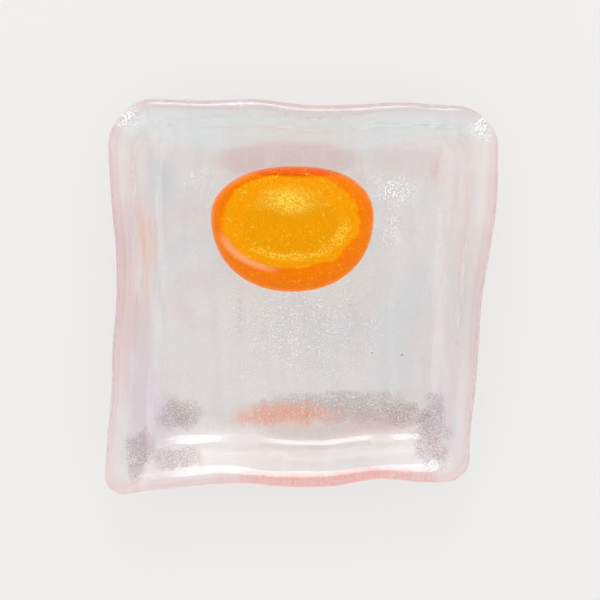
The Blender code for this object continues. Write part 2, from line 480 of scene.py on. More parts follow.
class Sketch:
    """A short way to write a node tree: each call adds nodes and gives back an output."""

    def __init__(self, tree):
        self.tree = tree

    def node(self, kind, inputs=None, **settings):
        made = self.tree.nodes.new(kind)
        for name, value in settings.items():
            setattr(made, name, value)
        for key, value in (inputs or {}).items():
            if isinstance(value, bpy.types.NodeSocket):
                self.tree.links.new(value, made.inputs[key])
            else:
                made.inputs[key].default_value = value
        return made

    def maths(self, operation, a, b=0.0, c=0.0):
        return self.node("ShaderNodeMath", {0: a, 1: b, 2: c}, operation=operation).outputs[0]

    def times(self, product, *others):
        """The product of several values."""
        for value in others:
            product = self.maths("MULTIPLY", product, value)
        return product

    def about_zero(self, value, height):
        """A value from 0 to 1, turned into one that swings about zero."""
        return self.times(self.maths("SUBTRACT", value, 0.5), height)

    def vector(self, operation, a, b=(0.0, 0.0, 0.0), output=0):
        return self.node("ShaderNodeVectorMath", {0: a, 1: b}, operation=operation).outputs[output]

    def mix(self, share, a, b, blend="MIX"):
        made = self.node("ShaderNodeMix", {0: share, 6: a, 7: b}, data_type="RGBA", blend_type=blend)
        return made.outputs[2]

    def tinted(self, colour, tint, *masks):
        """A colour with one of the tints over it, where all the masks meet."""
        return self.mix(self.times(*masks), colour, rgba(TINTS[tint]))

    def step(self, value, low, high, smooth=True):
        kind = "SMOOTHSTEP" if smooth else "LINEAR"
        made = self.node("ShaderNodeMapRange", {0: value, 1: low, 2: high}, interpolation_type=kind)
        return made.outputs[0]

    def grain(self, position, scale, detail=2.0, rough=0.5):
        inputs = {"Vector": position, "Scale": scale, "Detail": detail, "Roughness": rough}
        return self.node("ShaderNodeTexNoise", inputs).outputs[0]


VECTOR = "NodeSocketVector"
NUMBER = "NodeSocketFloat"

# Grains, each as how many go to a metre, its detail and its roughness
PATCH_EDGE = (130.0, 3.0, 0.6)
KILN_PITS = (900.0, 2.0, 0.6)
KILN_GRAIN = (2000.0, 2.0, 0.7)
STREAK_GRAIN = (1.0, 3.0, 0.55)
TINT_GRAIN = (45.0, 3.0, 0.6)
BAND_GRAIN = (120.0, 3.0, 0.6)
LIP_MOTTLE = (1400.0, 2.0, 0.6)
LIP_DIMPLES = (330.0, 3.0, 0.6)
PEARL_GRAIN = (600.0, 1.0)
OVAL_GRAIN = (300.0, 3.0, 0.6)
YOLK_BLOTCHES = (420.0, 3.0, 0.65)
YOLK_FLECKS = (700.0, 2.0, 0.6)

# Cells of the painted glints to a metre, and how lively one is when its glint starts and when it is full
GLINT_CELLS = {"Glints": (1500.0, 0.5, 1.0), "Close Glints": (1850.0, 0.1, 0.7)}
GLINT_DOT = (0.55, 0.2)

# How far the streaks wander, how often they bend, and what counts as light or dark
DRIFT = 12.0 * MM
BENDS = 24.0
LIGHT_STREAK = (0.5, 0.66)
DARK_STREAK = (0.5, 0.34)


def new_group(name, inputs, outputs):
    """An empty node group with its sockets, a sketch of it, and what it is given."""
    group = bpy.data.node_groups.new(name, "ShaderNodeTree")
    for socket, kind in inputs.items():
        group.interface.new_socket(socket, in_out="INPUT", socket_type=kind)
    for socket in outputs:
        group.interface.new_socket(socket, in_out="OUTPUT", socket_type=NUMBER)
    s = Sketch(group)
    return group, s, s.node("NodeGroupInput").outputs


def soft_patch_group():
    """A soft oval patch with a ragged edge, placed in plan."""
    placing = {"Position": VECTOR, "Centre": VECTOR, "Half Size": VECTOR}
    edge = {"Softness": NUMBER, "Ragged": NUMBER}
    group, s, given = new_group("soft_patch", placing | edge, ["Mask"])
    offset = s.vector("SUBTRACT", given["Position"], given["Centre"])
    scaled = s.vector("DIVIDE", offset, given["Half Size"])
    flat = s.vector("MULTIPLY", scaled, (1.0, 1.0, 0.0))
    wander = s.about_zero(s.grain(given["Position"], *PATCH_EDGE), given["Ragged"])
    reach = s.maths("ADD", s.vector("LENGTH", flat, output="Value"), wander)
    inner = s.maths("SUBTRACT", 1.0, given["Softness"])
    s.node("NodeGroupOutput", {"Mask": s.step(reach, 1.0, inner)})
    return group


def kiln_stipple_group():
    """The fine stippling that a kiln shelf leaves: its height and its grain, and the painted glints that
    glow where it would catch the lamps.
    """
    group, s, given = new_group("kiln_stipple", {"Position": VECTOR}, ["Height", "Grain", *GLINT_CELLS])
    made = {
        "Height": s.grain(given["Position"], *KILN_PITS),
        "Grain": s.grain(given["Position"], *KILN_GRAIN),
    }
    for name, (scale, dullest, liveliest) in GLINT_CELLS.items():
        cells = s.node("ShaderNodeTexVoronoi", {"Vector": given["Position"], "Scale": scale}, feature="F1")
        lively = s.node("ShaderNodeSeparateColor", {0: cells.outputs["Color"]}).outputs[0]
        dots = s.step(cells.outputs["Distance"], *GLINT_DOT)
        made[name] = s.times(dots, s.step(lively, dullest, liveliest))
    s.node("NodeGroupOutput", made)
    return group


def drawn_streaks_group():
    """Long soft streaks, as slumped glass draws them, light and dark."""
    inputs = {"Position": VECTOR, "Frequency": VECTOR}
    group, s, given = new_group("drawn_streaks", inputs, ["Light", "Dark"])
    bends = s.node("ShaderNodeTexNoise", {"Vector": given["Position"], "Scale": BENDS, "Detail": 1.0})
    centred = s.vector("SUBTRACT", bends.outputs["Color"], (0.5, 0.5, 0.5))
    drift = s.vector("MULTIPLY", centred, (DRIFT, DRIFT, 0.0))
    moved = s.vector("ADD", given["Position"], drift)
    value = s.grain(s.vector("MULTIPLY", moved, given["Frequency"]), *STREAK_GRAIN)
    s.node("NodeGroupOutput", {"Light": s.step(value, *LIGHT_STREAK), "Dark": s.step(value, *DARK_STREAK)})
    return group


def placed_group(s, name, maker, inputs):
    """The outputs of a shared group placed in this material; the group is made on its first use."""
    shared = bpy.data.node_groups.get(name) or maker()
    return s.node("ShaderNodeGroup", inputs, node_tree=shared).outputs


def placed_patch(s, position, centre, half, softness, ragged):
    """A soft patch in this material, with its centre and half size given in mm."""
    inputs = {
        "Position": position,
        "Centre": (centre[0] * MM, centre[1] * MM, 0.0),
        "Half Size": (half[0] * MM, half[1] * MM, 1.0),
        "Softness": softness,
        "Ragged": ragged,
    }
    return placed_group(s, "soft_patch", soft_patch_group, inputs)["Mask"]


# Slow clouds of the coat: how many go to a metre, tint, strength
SLOW_CLOUDS = [(62.0, "rose", 0.45), (47.0, "cool", 0.5), (39.0, "mist", 0.4)]
SLOW_CLOUD_DETAIL = (3.0, 0.6)
SLOW_CLOUD_EDGE = (0.5, 0.66)
UNEVEN_TINT = 0.95

# Placed clouds: middle and half size in mm, softness, raggedness, tint, strength. Most are the pearly
# coat's; those noted below are painted reflections, painted light and painted shade
COAT_AND_PAINTED_CLOUDS = {
    # Painted reflection in the upper cove, behind the yolk
    "top_floor": ((-4.2, 46.0), (28.0, 7.4), 0.3, 0.35, "blush", 0.75),
    "top_right": ((38.0, 46.0), (17.0, 9.0), 0.8, 0.6, "rose", 0.5),
    # The lip's pink: partly painted light of the yolk, carried in the glass to its edge
    "upper_lip": ((0.0, 65.0), (58.0, 3.0), 0.8, 0.6, "blush", 0.4),
    "upper_lip_coral": ((8.0, 66.0), (12.0, 2.8), 0.8, 0.5, "coral", 0.5),
    "left_wall": ((-56.5, 4.0), (9.5, 64.0), 0.7, 0.6, "rose", 1.0),
    "left_wall_mist": ((-48.0, 37.0), (8.0, 13.0), 0.8, 0.8, "mist", 0.7),
    "left_wall_low": ((-54.0, -35.0), (11.0, 26.0), 0.9, 0.8, "lilac", 0.9),
    # Painted reflection of the yolk in the left wall
    "left_glow": ((-53.0, 18.0), (3.6, 15.0), 1.0, 0.6, "peach", 0.8),
    "right_wall": ((56.0, 2.0), (10.5, 64.0), 0.7, 0.6, "rose", 0.5),
    "right_wall_mist": ((54.0, -3.0), (5.0, 15.0), 0.8, 0.8, "mist", 0.6),
    # Painted reflection of the yolk in the right wall
    "right_glow": ((47.5, 41.0), (4.0, 13.0), 1.0, 0.6, "peach", 0.5),
    # Painted shade at the two upper corners
    "upper_left_corner": ((-60.0, 62.5), (8.0, 5.5), 0.8, 0.6, "dusk", 0.5),
    "upper_right_corner": ((62.5, 60.0), (5.0, 8.0), 0.8, 0.6, "dusk", 0.5),
    "rose_streak": ((-20.8, -7.0), (2.0, 15.0), 0.9, 0.5, "rose", 0.5),
    "left_wall_deep": ((-60.0, 0.0), (7.0, 58.0), 0.9, 0.7, "dusk", 0.4),
    # Painted shade over the lower wall and its foot
    "lower_wall": ((6.0, -53.0), (48.0, 7.0), 0.8, 0.6, "shade", 0.45),
    "lower_wall_foot": ((8.0, -48.0), (40.0, 5.0), 0.9, 0.6, "beige", 0.9),
    # Painted orange light of the yolk at the floor's lower edge
    "lower_floor_glow": ((-6.0, -42.0), (28.0, 6.5), 0.9, 0.6, "peach", 0.75),
    # Painted shade beside the yolk's painted light
    "lower_floor_warm": ((25.0, -45.0), (22.0, 6.5), 0.9, 0.8, "blush", 0.9),
    # Painted shade in the lower left corner
    "lower_left_lilac": ((-50.0, -48.0), (14.0, 16.0), 0.8, 0.7, "lilac", 0.9),
    "lower_left_deep": ((-52.5, -53.5), (13.0, 12.0), 0.9, 0.7, "shade", 0.35),
    "lower_left_lip": ((-45.0, -64.0), (22.0, 6.0), 0.8, 0.8, "dusk", 0.35),
    # Painted shade in the lower right corner
    "lower_right_lilac": ((48.0, -45.0), (10.0, 18.0), 0.8, 0.7, "lilac", 0.8),
}

# Clouds that the stippling breaks up, painted shade under the floor and, in ember, the yolk's painted
# orange light on it: middle and half size in mm, softness, tint, strength
STIPPLED_CLOUDS = {
    # Painted shade
    "lower_floor": ((13.0, -39.5), (40.0, 7.5), 0.9, "smoke", 0.75),
    "lower_floor_end": ((36.0, -42.5), (14.0, 6.5), 1.0, "smoke", 0.7),
    # Painted orange light of the yolk
    "yolk_glow": ((-3.5, -41.5), (26.0, 6.0), 1.0, "ember", 0.85),
    "yolk_glow_tail": ((-17.0, -44.0), (15.0, 4.5), 1.0, "ember", 0.5),
    # Painted shade
    "lower_left": ((-42.0, -42.5), (9.5, 9.5), 1.0, "smoke", 0.85),
    "lower_right": ((46.0, -48.0), (9.5, 19.0), 1.0, "smoke", 0.9),
    "lower_left_corner": ((-55.5, -56.0), (8.5, 13.0), 1.0, "smoke", 0.85),
    "lower_left_wall": ((-42.0, -57.5), (13.0, 5.5), 1.0, "smoke", 0.75),
}
CLOUD_RAGGED = 1.2
CLOUD_UNEVEN = 6.5
CLOUD_BROKEN = (-0.3, 1.3)
CLOUD_WITHIN = (0.0, 0.4)

# Tiny dark seeds in the glass: their middles in mm, their half size, softness and raggedness
SEEDS = [(17.2, -4.0), (24.7, -20.7), (35.0, -21.4)]
SEED_FORM = ((0.5, 0.4), 0.6, 0.5)

# The pale band of the upper wall, partly a painted reflection of the pale ground, ends in waves: height,
# depth, length and lowest point
BAND_EDGE = 52.6 * MM
BAND_WAVE = 2.2 * MM
BAND_LENGTH = 53.0 * MM
BAND_LOWEST = -30.9 * MM
BAND_RAGGED = 4.0 * MM
BAND_BELOW = 0.3 * MM
BAND_ABOVE = 0.5 * MM
BAND_STRENGTH = 0.85

# The streaks: where the side walls and the end walls start, their frequency each way, and their strength
SIDE_WALLS = (38.0 * MM, 52.0 * MM)
SIDE_STREAKS = (260.0, 34.0, 60.0)
END_WALLS = (50.0 * MM, 56.0 * MM)
END_STREAKS = (26.0, 380.0, 60.0)
FLOOR_STREAKS = 0.4
END_STREAK_SHARE = 0.35
STREAK_STRENGTH = 0.6

# Reaches from the lip's tip where each finish starts and where it is full
LIP_CORAL = (7.5 * MM, 5.0 * MM)
LIP_GLINT = (9.0 * MM, 7.0 * MM)
CREST_INNER = (9.0 * MM, 6.0 * MM)
CREST_OUTER = (3.0 * MM, 4.5 * MM)
FLOOR_SIDE = (13.0 * MM, 19.0 * MM)
WALL_SATIN = (21.0 * MM, 16.0 * MM)

# The lip's tints, partly painted light of the yolk that the glass carries to its edge: the reach where one
# starts and where it is full, tint, strength
LIP_TINTS = [((8.0 * MM, 2.5 * MM), "rose", 0.8), ((3.5 * MM, 0.5 * MM), "dusk", 0.7)]

# The coral of the lower lip, partly painted orange light of the yolk: its patch, how its mottles are cut,
# and their least and added strength
CORAL_PATCH = ((12.0, -62.5), (46.0, 12.0), 0.6, 0.8)
CORAL_CUT = (0.42, 0.58)
CORAL_LEAST = 0.4
CORAL_ADDED = 0.55

# The floor's speckle: where it is liveliest, its least strength, its cut, and its dark and light
LIVELY_PATCH = ((2.0, -12.0), (48.0, 32.0), 0.8, 0.9)
LIVELY_LEAST = 0.4
FLOOR_CUT = (0.34, 0.66)
FLOOR_SPECKLE = ((0.68, 0.67, 0.67), (1.16, 1.16, 1.16))

# Where painted glints gather beside the yolk: middle and half size in mm, strength
GLINT_CLUSTERS = [
    ((31.5, 35.5), (12.5, 8.5), 1.0),
    ((31.0, 23.0), (8.0, 11.0), 0.5),
    ((-35.5, 38.5), (9.0, 6.5), 0.5),
]

# Where they gather on the lip, at its two upper corners and beside the left one
LIP_GLINTS = [
    ((-57.0, 60.5), (7.0, 5.5), 0.9),
    ((60.8, 57.0), (5.0, 6.5), 0.9),
    ((-21.7, 64.5), (11.0, 1.6), 0.6),
]
CLUSTER_EDGE = (0.9, 1.2)
CLUSTER_SHADE = 0.5
FLOOR_GLINTS = 0.42
CLOUD_GLINTS = 0.5

# The glints shine between a bluish and a rosy white
GLINT_COLOURS = [(0.80, 0.97, 1.00), (1.00, 0.91, 0.92)]
GLINT_COLOUR_CUT = (0.42, 0.58)

# Under the yolk the dish is left clear
YOLK_FOOTPRINT = ((-2.7, 22.3), (27.0, 20.6), 0.1, 0.0)

# Dimples on the lip's crest, all round but for the lower lip
CREST_SIDE = (-45.0 * MM, -25.0 * MM)
DIMPLE_DEPTH = 2.5
RELIEF_STRENGTH = 0.5
RELIEF_DEPTH = 0.1 * MM

# Roughness of the fire polish, of the kiln side on the floor, and what its walls add
POLISH = 0.09
KILN_SATIN = 0.3
WALL_SATIN_ADDED = 0.35

# Where the inside of the lower wall is matt: middle and half size in mm
MATT_SPOTS = [
    ((-19.5, -50.5), (14.0, 4.5)),
    ((28.0, -50.0), (7.0, 3.5)),
    ((-49.0, -50.6), (9.0, 2.8)),
    ((-53.0, -58.6), (8.0, 2.4)),
]
MATT_EDGE = (0.8, 0.5)
MATT_ROUGHNESS = 0.55

# What is left of the light that falls through the glass
LIGHT_UNDER_WHITE = (0.93, 0.928, 0.93)
LIGHT_UNDER_YOLK = (0.97, 0.95, 0.93)


def light_through(s, shader, colour):
    """Glass that lets the light of lamps and of the room reach what is under it."""
    path = s.node("ShaderNodeLightPath")
    lamps = s.maths("MAXIMUM", path.outputs["Is Shadow Ray"], path.outputs["Is Diffuse Ray"])
    clear = s.node("ShaderNodeBsdfTransparent", {"Color": rgba(colour)})
    both = s.node("ShaderNodeMixShader", {0: lamps, 1: shader.outputs[0], 2: clear.outputs[0]})
    s.node("ShaderNodeOutputMaterial", {"Surface": both.outputs[0]})


def new_material(name):
    material = bpy.data.materials.new(name)
    material.use_nodes = True
    material.node_tree.nodes.clear()
    return material


def speckled(s, colour, grain, cut, speckle):
    """A colour broken up by the stippling's grain into darker and lighter specks."""
    dark, light = speckle
    specks = s.mix(s.step(grain, *cut, smooth=False), rgba(dark), rgba(light))
    return s.mix(1.0, colour, specks, blend="MULTIPLY")


def upper_band(s, where, place):
    """Where the pale band of the upper wall lies, with a wavy lower edge: partly the coat's tint and partly
    a painted reflection of the pale ground.
    """
    turns = s.times(s.maths("SUBTRACT", place["X"], BAND_LOWEST), 2 * math.pi / BAND_LENGTH)
    wave = s.times(s.maths("COSINE", turns), BAND_WAVE)
    ragged = s.about_zero(s.grain(where, *BAND_GRAIN), BAND_RAGGED)
    level = s.maths("ADD", s.maths("ADD", place["Y"], wave), ragged)
    return s.step(level, BAND_EDGE - BAND_BELOW, BAND_EDGE + BAND_ABOVE)


def coat_and_painted_tints(s, white, where, place):
    """The glass's own tint with the clouds of the pearly coat, the painted reflections, light and shade
    placed among them, and the pale band on it.
    """
    darker = [channel * UNEVEN_TINT for channel in white.tint]
    colour = s.mix(s.grain(where, *TINT_GRAIN), rgba(white.tint), rgba(darker))
    for scale, tint, strength in SLOW_CLOUDS:
        cloud = s.step(s.grain(where, scale, *SLOW_CLOUD_DETAIL), *SLOW_CLOUD_EDGE)
        colour = s.tinted(colour, tint, cloud, strength)
    for *form, tint, strength in COAT_AND_PAINTED_CLOUDS.values():
        colour = s.tinted(colour, tint, placed_patch(s, where, *form), strength)
    return s.tinted(colour, "cool", upper_band(s, where, place), BAND_STRENGTH)


def streaked_walls(s, colour, where, place):
    """Pale and dark streaks up the side walls, fainter over the floor, and along the end walls."""
    sides = s.step(s.maths("ABSOLUTE", place["X"]), *SIDE_WALLS)
    ends = s.step(s.maths("ABSOLUTE", place["Y"]), *END_WALLS)
    for frequency, mask in (
        (SIDE_STREAKS, s.maths("MAXIMUM", sides, FLOOR_STREAKS)),
        (END_STREAKS, s.times(ends, END_STREAK_SHARE)),
    ):
        inputs = {"Position": where, "Frequency": frequency}
        streaks = placed_group(s, "drawn_streaks", drawn_streaks_group, inputs)
        colour = s.tinted(colour, "pale", streaks["Light"], mask, STREAK_STRENGTH)
        colour = s.tinted(colour, "mist", streaks["Dark"], mask, STREAK_STRENGTH)
    return colour


def stippled_clouds(s, colour, where, kiln_side, grain):
    """The painted shade and painted orange light of the yolk under the glass, the dark seeds, and a mask of
    where the painted clouds lie.
    """
    uneven = s.about_zero(grain, CLOUD_UNEVEN)
    clouded = 0.0
    for *form, tint, strength in STIPPLED_CLOUDS.values():
        cloud = placed_patch(s, where, *form, CLOUD_RAGGED)
        broken = s.step(s.maths("ADD", cloud, uneven), *CLOUD_BROKEN)
        within = s.step(cloud, *CLOUD_WITHIN)
        colour = s.tinted(colour, tint, broken, within, kiln_side, strength)
        clouded = s.maths("MAXIMUM", clouded, s.times(cloud, kiln_side))
    for seed in SEEDS:
        colour = s.tinted(colour, "smoke", placed_patch(s, where, seed, *SEED_FORM), kiln_side)
    return colour, clouded


def lip_tints(s, colour, where, from_lip):
    """A lip that is pinker towards its tip, and mottled with coral along the lower wall: partly painted
    light of the yolk, carried in the glass to its edge.
    """
    for reach, tint, strength in LIP_TINTS:
        colour = s.tinted(colour, tint, s.step(from_lip, *reach), strength)
    mottles = s.step(s.grain(where, *LIP_MOTTLE), *CORAL_CUT)
    mottled = s.maths("ADD", s.times(mottles, CORAL_ADDED), CORAL_LEAST)
    patch = placed_patch(s, where, *CORAL_PATCH)
    return s.tinted(colour, "coral", patch, s.step(from_lip, *LIP_CORAL), mottled)


def gathered_glints(s, colour, where, floor, lip, speckling, clouded, stipple):
    """Painted glints that glow, over the floor, in its clouds and close together in clusters, where the
    glass is painted a little darker.
    """
    glints = s.times(stipple["Glints"], speckling, FLOOR_GLINTS)
    glints = s.maths("MAXIMUM", glints, s.times(stipple["Glints"], clouded, CLOUD_GLINTS))
    for clusters, side in ((GLINT_CLUSTERS, floor), (LIP_GLINTS, lip)):
        for *form, strength in clusters:
            cluster = s.times(placed_patch(s, where, *form, *CLUSTER_EDGE), strength, side)
            colour = s.tinted(colour, "mist", cluster, CLUSTER_SHADE)
            glints = s.maths("MAXIMUM", glints, s.times(stipple["Close Glints"], cluster))
    return colour, glints


def pearly_and_painted_colour(s, white, where, from_lip, kiln_side, floor, stipple):
    """The colour that the clear glass lets through over its whole skin, with painted reflections, light and
    shade, and its painted glints.
    """
    place = s.node("ShaderNodeSeparateXYZ", {0: where}).outputs
    colour = coat_and_painted_tints(s, white, where, place)
    colour = streaked_walls(s, colour, where, place)
    colour, clouded = stippled_clouds(s, colour, where, kiln_side, stipple["Grain"])
    colour = lip_tints(s, colour, where, from_lip)

    lively = s.maths("MAXIMUM", placed_patch(s, where, *LIVELY_PATCH), LIVELY_LEAST)
    speckling = s.times(floor, lively)
    colour = s.mix(speckling, colour, speckled(s, colour, stipple["Grain"], FLOOR_CUT, FLOOR_SPECKLE))
    lip = s.step(from_lip, *LIP_GLINT)
    colour, glints = gathered_glints(s, colour, where, floor, lip, speckling, clouded, stipple)
    footprint = placed_patch(s, where, *YOLK_FOOTPRINT)
    glints = s.times(glints, s.maths("SUBTRACT", 1.0, footprint))
    return s.mix(footprint, s.mix(glints, colour, WHITE), WHITE), glints


def glass_relief(s, where, from_lip, kiln_side, floor, pits):
    """The pits of the stippling under the floor, and the dimples on the lip's crest."""
    upper = s.node("ShaderNodeSeparateXYZ", {0: where}).outputs["Y"]
    crest = s.times(
        s.step(from_lip, *CREST_INNER),
        s.step(upper, *CREST_SIDE),
        s.step(from_lip, *CREST_OUTER),
        s.maths("SUBTRACT", 1.0, kiln_side),
    )
    dimples = s.times(s.grain(where, *LIP_DIMPLES), crest, DIMPLE_DEPTH)
    relief = s.maths("ADD", s.times(pits, floor), dimples)
    bump = {"Strength": RELIEF_STRENGTH, "Distance": RELIEF_DEPTH, "Height": relief}
    return s.node("ShaderNodeBump", bump).outputs[0]


def glass_roughness(s, where, from_lip, kiln_side):
    """Polish inside but for a few matt spots, and satin on the kiln side, more so under the walls."""
    wall = s.step(from_lip, *WALL_SATIN)
    satin = s.maths("ADD", s.times(wall, WALL_SATIN_ADDED), KILN_SATIN)
    rough = s.maths("ADD", s.times(kiln_side, satin), POLISH)
    for spot in MATT_SPOTS:
        matt = placed_patch(s, where, *spot, *MATT_EDGE)
        rough = s.maths("MAXIMUM", rough, s.times(matt, MATT_ROUGHNESS))
    return rough


def pearly_glass(white):
    """Clear glass with a pearly coat: fire-polished inside, satin and stippled by the kiln underneath."""
    material = new_material("pearly_glass")
    s = Sketch(material.node_tree)
    where = s.node("ShaderNodeTexCoord").outputs["Object"]
    stipple = placed_group(s, "kiln_stipple", kiln_stipple_group, {"Position": where})
    from_lip = s.node("ShaderNodeAttribute", attribute_name="from_lip").outputs["Fac"]
    kiln_side = s.node("ShaderNodeAttribute", attribute_name="kiln_side").outputs["Fac"]
    floor = s.times(s.step(from_lip, *FLOOR_SIDE), kiln_side)
    colour, glints = pearly_and_painted_colour(s, white, where, from_lip, kiln_side, floor, stipple)
    bluish, rosy = GLINT_COLOURS
    pearl = s.mix(s.step(s.grain(where, *PEARL_GRAIN), *GLINT_COLOUR_CUT), rgba(bluish), rgba(rosy))
    glass = s.node(
        "ShaderNodeBsdfPrincipled",
        {
            "Base Color": colour,
            "Roughness": glass_roughness(s, where, from_lip, kiln_side),
            "IOR": 1.5,
            "Transmission Weight": 0.86,
            # The glints glow: they are painted highlights in a pearly hue, not lit by the lamps
            "Emission Color": s.mix(glints, BLACK, pearl),
            "Emission Strength": 0.75,
            "Normal": glass_relief(s, where, from_lip, kiln_side, floor, stipple["Height"]),
        },
    )
    light_through(s, glass, LIGHT_UNDER_WHITE)
    return material


# The yolk's crown, the oval within it, its upper edge and its painted highlight: middle and half size in mm
CROWN_OVAL = ((-3.3, 25.6), (23.6, 16.6))
INNER_OVAL = ((-3.1, 24.2), (17.2, 10.6))
UPPER_EDGE = ((-0.5, 43.2), (24.0, 3.6))
YOLK_HIGHLIGHT = ((-3.4, 32.5), (14.0, 6.4))

# How soft and how ragged their edges are
CROWN_EDGE = (0.06, 0.22)
UPPER_EDGE_FORM = (0.4, 0.2)
HIGHLIGHT_EDGE = (1.0, 0.9)
OVAL_WANDER = 0.35

# Reaches in the inner oval where its colour and its painted stippled light, which the yolk focuses there,
# start and are full
OVAL_WITHIN = (1.02, 0.92)
OVAL_STRENGTH = 0.75
ARC_OUTER = (1.2, 1.04)
ARC_INNER = (0.84, 0.98)
ARC_STRENGTH = 0.85

# The side of the inner oval where its painted stippled light is strongest, and how it fades round the oval
ARC_SIDE = (0.45, -0.89, 0.0)
ARC_FADE = (0.1, 0.7)

# The yolk's speckle: how the grain is cut for its painted lights and all over, and its dark and light
LIGHT_CUT = (0.47, 0.54)
YOLK_CUT = (0.3, 0.7)
YOLK_SPECKLE = ((0.86, 0.82, 0.80), (1.10, 1.14, 1.10))
HIGHLIGHT_LEAST = 0.3
HIGHLIGHT_ADDED = 0.7

# Blotches and flecks in the orange: how their grain is cut, and their strength off and on the crown
BLOTCH_CUT = (0.52, 0.6)
BLOTCH_STRENGTH = 0.3
FLECK_CUT = (0.62, 0.68)
FLECK_SHOULDER = 0.25
FLECK_CROWN_ADDED = 0.25

# The paler line round the yolk's foot, a painted glow at its edge: the heights where it starts and where it
# is full
FOOT_LINE = (8.6 * MM, 7.6 * MM)
FOOT_STRENGTH = 0.7

# The side of the crown that a soft pink streak lies along, where it fades, and its strength
STREAK_SIDE = (-0.68, -0.73, 0.0)
STREAK_INNER = (0.94, 1.0)
STREAK_OUTER = (1.12, 1.03)
STREAK_ROUND = (0.8, 0.98)
PINK_STRENGTH = 0.7


def oval_reach(s, where, centre, half):
    """How far out a point lies from an oval's middle, 1 on the oval, and its way there; oval in mm."""
    middle = (centre[0] * MM, centre[1] * MM, 0.0)
    scale = (1.0 / (half[0] * MM), 1.0 / (half[1] * MM), 0.0)
    scaled = s.vector("MULTIPLY", s.vector("SUBTRACT", where, middle), scale)
    return s.vector("LENGTH", scaled, output="Value"), scaled


def oval_light(s, colour, where, grain):
    """The darker oval in the crown with an arc of painted stippled light along its lower edge, and a
    painted highlight above.
    """
    reach, spot = oval_reach(s, where, *INNER_OVAL)
    reach = s.maths("ADD", reach, s.about_zero(s.grain(where, *OVAL_GRAIN), OVAL_WANDER))
    colour = s.tinted(colour, "amber", s.step(reach, *OVAL_WITHIN), OVAL_STRENGTH)
    edge = s.times(s.step(reach, *ARC_OUTER), s.step(reach, *ARC_INNER))
    low = s.step(s.vector("DOT_PRODUCT", spot, ARC_SIDE, output="Value"), *ARC_FADE)
    speckle = s.step(grain, *LIGHT_CUT)
    colour = s.tinted(colour, "gold", edge, low, speckle, ARC_STRENGTH)
    # Painted highlight at the top of the crown
    glow = placed_patch(s, where, *YOLK_HIGHLIGHT, *HIGHLIGHT_EDGE)
    return s.tinted(colour, "yellow", glow, s.maths("ADD", s.times(speckle, HIGHLIGHT_ADDED), HIGHLIGHT_LEAST))


def pink_streak(s, colour, where):
    """A soft pink streak along one side of the crown, where the room shows in the shoulder."""
    reach, spot = oval_reach(s, where, *CROWN_OVAL)
    facing = s.vector("DOT_PRODUCT", s.vector("NORMALIZE", spot), STREAK_SIDE, output="Value")
    across = s.times(s.step(reach, *STREAK_INNER), s.step(reach, *STREAK_OUTER))
    return s.tinted(colour, "salmon", across, s.step(facing, *STREAK_ROUND), PINK_STRENGTH)


def orange_glass(yolk):
    """Orange glass: a redder shoulder, a yellower crown, an oval of painted stippled light within it, and a
    faint painted glow.
    """
    material = new_material("orange_glass")
    s = Sketch(material.node_tree)
    where = s.node("ShaderNodeTexCoord").outputs["Object"]
    grain = placed_group(s, "kiln_stipple", kiln_stipple_group, {"Position": where})["Grain"]
    crown = placed_patch(s, where, *CROWN_OVAL, *CROWN_EDGE)
    colour = s.mix(crown, rgba(TINTS["tangerine"]), rgba(yolk.orange))
    colour = s.tinted(colour, "vermilion", placed_patch(s, where, *UPPER_EDGE, *UPPER_EDGE_FORM))
    colour = oval_light(s, colour, where, grain)
    colour = speckled(s, colour, grain, YOLK_CUT, YOLK_SPECKLE)
    blotches = s.step(s.grain(where, *YOLK_BLOTCHES), *BLOTCH_CUT)
    colour = s.tinted(colour, "rust", blotches, BLOTCH_STRENGTH)
    flecks = s.step(s.grain(where, *YOLK_FLECKS), *FLECK_CUT)
    fleck_strength = s.maths("ADD", s.times(crown, FLECK_CROWN_ADDED), FLECK_SHOULDER)
    colour = s.tinted(colour, "honey", flecks, fleck_strength)
    height = s.node("ShaderNodeSeparateXYZ", {0: where}).outputs["Z"]
    colour = s.tinted(colour, "apricot", s.step(height, *FOOT_LINE), FOOT_STRENGTH)
    colour = pink_streak(s, colour, where)
    glass = s.node(
        "ShaderNodeBsdfPrincipled",
        {
            "Base Color": colour,
            "Roughness": 0.06,
            "IOR": 1.45,
            "Specular IOR Level": 0.08,
            "Specular Tint": (1.0, 0.5, 0.08, 1.0),
            "Transmission Weight": 0.55,
            # A faint painted glow in the yolk's own colour
            "Emission Color": colour,
            "Emission Strength": 0.1,
        },
    )
    light_through(s, glass, LIGHT_UNDER_YOLK)
    return material


def seat_piece(piece, material, node):
    """Dresses a piece, and puts it in its node's place."""
    piece.data.materials.append(material)
    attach(piece, "root")
    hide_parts(node)


class EGG_OT_white(bpy.types.Operator):
    """Make the clear glass dish"""

    bl_idname = "glass_egg.white"
    bl_label = "Glass white"

    def execute(self, context):
        white = context.scene.egg_white
        flat, rings = dish_rings(white)
        upper, upper_middle = floor_rings(flat, white.glass, rings[0][1], 0.0)
        lower, lower_middle = floor_rings(flat, 0.0, rings[-1][1], 1.0)
        skin = list(reversed(upper)) + rings + lower
        dish = close_skin("glass_white", skin, upper_middle, lower_middle)
        seat_piece(dish, pearly_glass(white), "dish")
        return {"FINISHED"}


